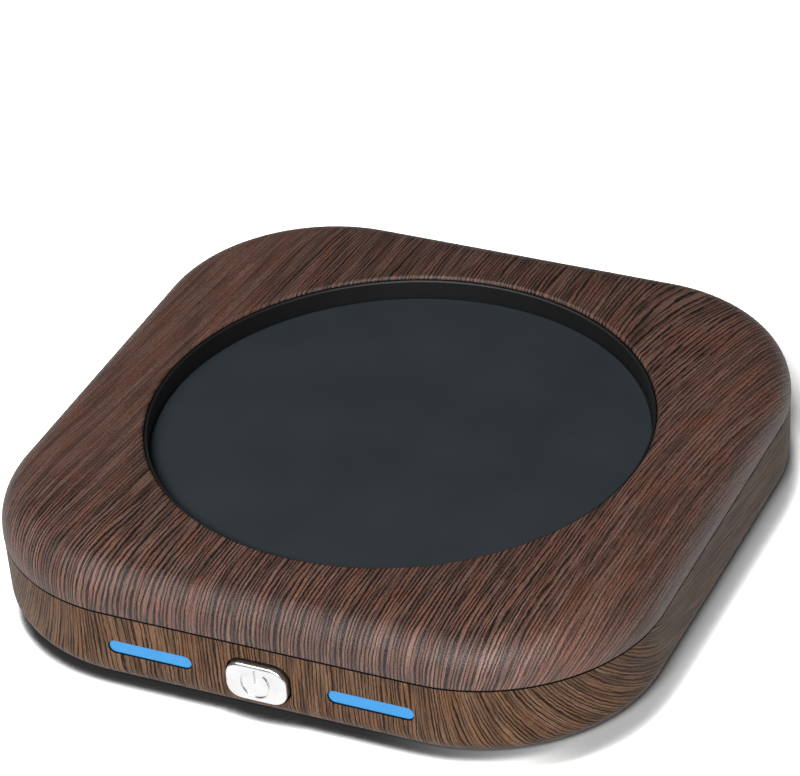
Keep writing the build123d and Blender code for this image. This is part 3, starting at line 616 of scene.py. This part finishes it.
def finishes():
    """Each of the record's material slots that isn't the film, as a material."""
    return {
        # Black with a dull sheen, made darker still as painted shade, so the recess's wall reads as a dark
        # ring
        "black_nylon": plain_finish("black_nylon", "#0A0A0B", "#060607", 0.2, 6, (0.5, 0.62)),
        # Dark blue-grey and nearly without reflections; its colour is partly painted shade, a mug's shadow
        # that lay on it
        "plate_coating": plain_finish(
            "heat_resistant_coating", "#1F2428", "#1A1F23", 0.25, 18, (0.62, 0.74), ior=1.35),
        # Dark grey and dull, like the feet and the grommet of any appliance
        "silicone": plain_finish("silicone_rubber", "#262626", "#1A1A1A", 0.3, 5, (0.65, 0.8)),
        # Flaky straw colour with a slight shine
        "mica": plain_finish("pressed_mica", "#B8A57E", "#93805B", 0.8, 9, (0.35, 0.6)),
        # Off-white and fibrous, with no shine at all
        "ceramic_fibre": plain_finish(
            "felted_ceramic_fibre", "#E4DFD2", "#C9C3B4", 0.5, 7, (0.85, 0.95), 0.8),
        # Warm grey metal with small bright spangles
        "zinc_steel": plain_finish("zinc_plated_steel", "#B9B9B4", "#8E8E88", 0.4, 4, (0.3, 0.45), 0.1, 1.0),
        # A soft bright metal that blurs what it mirrors
        "chrome": plain_finish("satin_chrome", "#DDDDDD", "#D2D2D3", 0.15, 5, (0.26, 0.34), 0.05, 1.0),
        "light_guide": lit_guide(),
        # Cream white with a slight shine
        "led_package": plain_finish("led_package", "#EDEBDD", "#D6D2BE", 0.3, 2, (0.3, 0.45)),
        # The deep glossy green of a circuit board
        "circuit_board": plain_finish("solder_resist", "#0E5533", "#08391F", 0.4, 4, (0.25, 0.4)),
        # The dull black of moulded chips and fuses
        "component_black": plain_finish("moulded_epoxy", "#1C1C1C", "#0E0E0E", 0.2, 2, (0.5, 0.65)),
        # A wet-looking blue drop
        "component_blue": plain_finish("dipped_epoxy", "#1E4E96", "#123468", 0.4, 3, (0.15, 0.3)),
        # Amber yellow box with a slight shine
        "component_yellow": plain_finish("capacitor_box", "#D8A62A", "#B98818", 0.3, 4, (0.3, 0.45)),
        # Milky off-white, rather dull
        "connector_white": plain_finish("natural_nylon", "#E4E0D2", "#CFCAB8", 0.3, 3, (0.45, 0.6)),
        # Mid green, rather dull
        "terminal_green": plain_finish("green_nylon", "#1C6E38", "#124E26", 0.3, 3, (0.45, 0.6)),
        # Pale metal with fine drawing marks
        "can_aluminium": plain_finish(
            "drawn_aluminium", "#C6C8CA", "#A4A6A8", 0.3, 3, (0.25, 0.4), 0.1, 1.0),
        # Straw-tinted weave with a rough surface
        "glass_sleeve": plain_finish(
            "varnished_glass_fibre", "#E6DFC8", "#C7BEA2", 0.35, 2, (0.5, 0.7), 0.7),
        # Pale warm grey and soft-looking
        "lead_silicone": plain_finish("silicone_lead", "#C9C1B6", "#B0A89C", 0.3, 5, (0.5, 0.65)),
        # Black with a dull sheen
        "lead_black": plain_finish("black_lead", "#1A1A1A", "#101010", 0.3, 4, (0.45, 0.6)),
    }


def dress_nodes(slots):
    """Give every node of the frame the finish of its slot; the film's slot is left to the case."""
    for row in frame["record"]["subparts"]:
        node = frame["nodes"][row["node"]]
        if row["material_slot"] in slots:
            node.data.materials.clear()
            node.data.materials.append(slots[row["material_slot"]])


# ---- Stage, light and camera -----------------------------------------------------------------
FLOOR_HALF = 3.0                # metres from the middle to the floor's edge
BOUNCE = 0.5                    # how pale the floor is to light that bounces off it
MIRRORED = 0.7                  # how pale it is in a reflection
SURROUND = 0.05                 # strength of the light from all round
GLOW = 0.14                     # what the horizon behind the case adds to it

# The camera's place in millimetres, its azimuth, elevation and roll in degrees, and its lens
EYE = (289.47, -590.27, 469.65)
VIEW_ANGLES = (26.09, 33.69, -3.90)
FOCAL_PX = 4200
WIDTH_PX = 800
SENSOR_MM = 36


def stage():
    """A pale floor, white to the camera apart from the case's shadow and a contact shade beside it."""
    bm = bmesh.new()
    bmesh.ops.create_grid(bm, x_segments=1, y_segments=1, size=FLOOR_HALF)
    floor = object_from(bm, "floor")
    made, tree = new_material("pale_floor")
    path = add(tree, "ShaderNodeLightPath").outputs

    def nearness(reach, x, y, low, high, start, end):
        """Shade that gathers within a reach in millimetres of the case. x and y tilt the way the
        floor looks, low and high are how much open sky it sees, start and end the shade."""
        tilt = Vector((x, y, 1.0)).normalized()
        toward = add(tree, "ShaderNodeCombineXYZ", inputs={0: tilt.x, 1: tilt.y, 2: tilt.z})
        open_sky = add(tree, "ShaderNodeAmbientOcclusion", {"samples": 32}, {
            "Distance": reach * MM, "Normal": toward}).outputs["AO"]
        return add(tree, "ShaderNodeMapRange", EASED, {
            "Value": open_sky, "From Min": low, "From Max": high, "To Min": start, "To Max": end})

    # The shade is narrow and dark on the left and in front, wide and soft on the right.
    place = add(tree, "ShaderNodeTexCoord").outputs["Object"]
    across, along = add(tree, "ShaderNodeSeparateXYZ", inputs={0: place}).outputs[:2]
    rightward = add(tree, "ShaderNodeMath", {"operation": "ADD"}, {0: across, 1: along})
    open_side = add(tree, "ShaderNodeMapRange", EASED, {
        "Value": rightward, "From Min": -45 * MM, "From Max": 10 * MM})
    contact = add(tree, "ShaderNodeMix", NUMBERS, {
        0: open_side, 2: nearness(7, x=0.4, y=0.8, low=0.3, high=0.52, start=0.02, end=1.3),
        3: nearness(10, x=-0.5, y=0.4, low=0.46, high=0.72, start=0.3, end=1.3)})
    seen = add(tree, "ShaderNodeMath", {"operation": "MAXIMUM"}, {
        0: path["Is Camera Ray"], 1: path["Is Transmission Ray"]})
    tint = add(tree, "ShaderNodeMix", NUMBERS, {0: seen, 2: BOUNCE, 3: contact})
    tint = add(tree, "ShaderNodeMix", NUMBERS, {0: path["Is Glossy Ray"], 2: tint, 3: MIRRORED})
    shader = add(tree, "ShaderNodeBsdfDiffuse", inputs={"Color": tint})
    add(tree, "ShaderNodeOutputMaterial", inputs={"Surface": shader})
    floor.data.materials.append(made)


def direction(azimuth, elevation):
    """The direction from the object to a place with this azimuth and elevation, in radians."""
    return Vector((math.sin(azimuth) * math.cos(elevation), -math.cos(azimuth) * math.cos(elevation),
                   math.sin(elevation)))


def softbox(name, azimuth, elevation, distance, width, height, watts, glints=True):
    """An area lamp that looks at the middle of the object from a direction, in degrees.
    A lamp behind a crossed polariser gives light but no glints."""
    away = direction(math.radians(azimuth), math.radians(elevation))
    lamp = bpy.data.lights.new(name, "AREA")
    lamp.shape = "RECTANGLE"
    lamp.size = width
    lamp.size_y = height
    lamp.energy = watts
    holder = bpy.data.objects.new(name, lamp)
    holder.location = away * distance
    holder.rotation_mode = "QUATERNION"
    holder.rotation_quaternion = away.to_track_quat("Z", "Y")
    holder.visible_glossy = glints
    bpy.context.scene.collection.objects.link(holder)


def light():
    """A white backdrop to the camera, a dim surround with a glow behind, and three softboxes."""
    world = bpy.data.worlds.new("studio")
    bpy.context.scene.world = world
    world.use_nodes = True
    tree = world.node_tree
    tree.nodes.clear()
    ray = add(tree, "ShaderNodeTexCoord").outputs["Generated"]
    toward = add(tree, "ShaderNodeSeparateXYZ", inputs={0: ray}).outputs
    low = add(tree, "ShaderNodeMapRange", EASED, {
        "Value": toward[2], "From Min": 0.0, "From Max": 0.15, "To Min": GLOW, "To Max": 0.0})
    behind = add(tree, "ShaderNodeMapRange", EASED, {
        "Value": toward[1], "From Min": -0.1, "From Max": 0.5})
    surround = add(tree, "ShaderNodeMath", TIMES_PLUS, {0: low, 1: behind, 2: SURROUND})
    camera_ray = add(tree, "ShaderNodeLightPath").outputs["Is Camera Ray"]
    strength = add(tree, "ShaderNodeMix", NUMBERS, {0: camera_ray, 2: surround, 3: 1.0})
    background = add(tree, "ShaderNodeBackground", inputs={"Color": (1, 1, 1, 1), "Strength": strength})
    add(tree, "ShaderNodeOutputWorld", inputs={"Surface": background})
    softbox("overhead_softbox", -60, 62, distance=1.2, width=0.6, height=0.6, watts=6.2)
    softbox("front_softbox", 13, 40, distance=1.3, width=0.5, height=0.3, watts=20)
    softbox("polarised_softbox", 13, 40, distance=1.3, width=0.5, height=0.3, watts=15, glints=False)


def camera():
    """A long lens from the front right, looking down on the case."""
    azimuth, elevation, roll = (math.radians(angle) for angle in VIEW_ANGLES)
    lens = bpy.data.cameras.new("camera")
    lens.sensor_width = SENSOR_MM
    lens.lens = FOCAL_PX / WIDTH_PX * SENSOR_MM
    eye = bpy.data.objects.new("camera", lens)
    bpy.context.scene.collection.objects.link(eye)
    back = direction(azimuth, elevation)
    right = Vector((math.cos(azimuth), math.sin(azimuth), 0))
    facing_up = back.cross(right)
    across = right * math.cos(roll) + facing_up * math.sin(roll)
    upward = facing_up * math.cos(roll) - right * math.sin(roll)
    turn = Matrix((across, upward, back)).transposed().to_4x4()
    eye.matrix_world = Matrix.Translation(Vector(EYE) * MM) @ turn
    bpy.context.scene.camera = eye


# ---- Scene -----------------------------------------------------------------------------------
camera()
stage()
light()
bpy.context.scene.view_settings.view_transform = "Standard"

dress_nodes(finishes())
# Near-black and dull, as painted shade: the unprinted inside, the underside and the ledges in the parting
# gap read as in shadow
bare = plain_finish("bare_moulding_painted_shade", "#0C0B0B", "#060505", 0.3, 5, (0.6, 0.7), ior=1.3)
# Dark walnut with fine black streaks under a satin lacquer
top_film = wood_film(
    "walnut_film_top", pale="#513A31", deep="#3A2720", rust="#4E2F24", ink="#060200",
    spacing=0.8, play=1.0, gloss=0.5, seed=0.0)
# The same film on the walls, paler and duller; the paler colour is partly painted light, for the walls'
# brighter lighting
side_film = wood_film(
    "walnut_film_side", pale="#604938", deep="#453326", rust="#5B3F2C", ink="#190A02",
    spacing=0.75, play=0.0, gloss=0.1, seed=40.0)
for piece, film in ((wood_cover(), top_film), (wood_housing(), side_film)):
    piece.data.materials.append(film)
    piece.data.materials.append(bare)
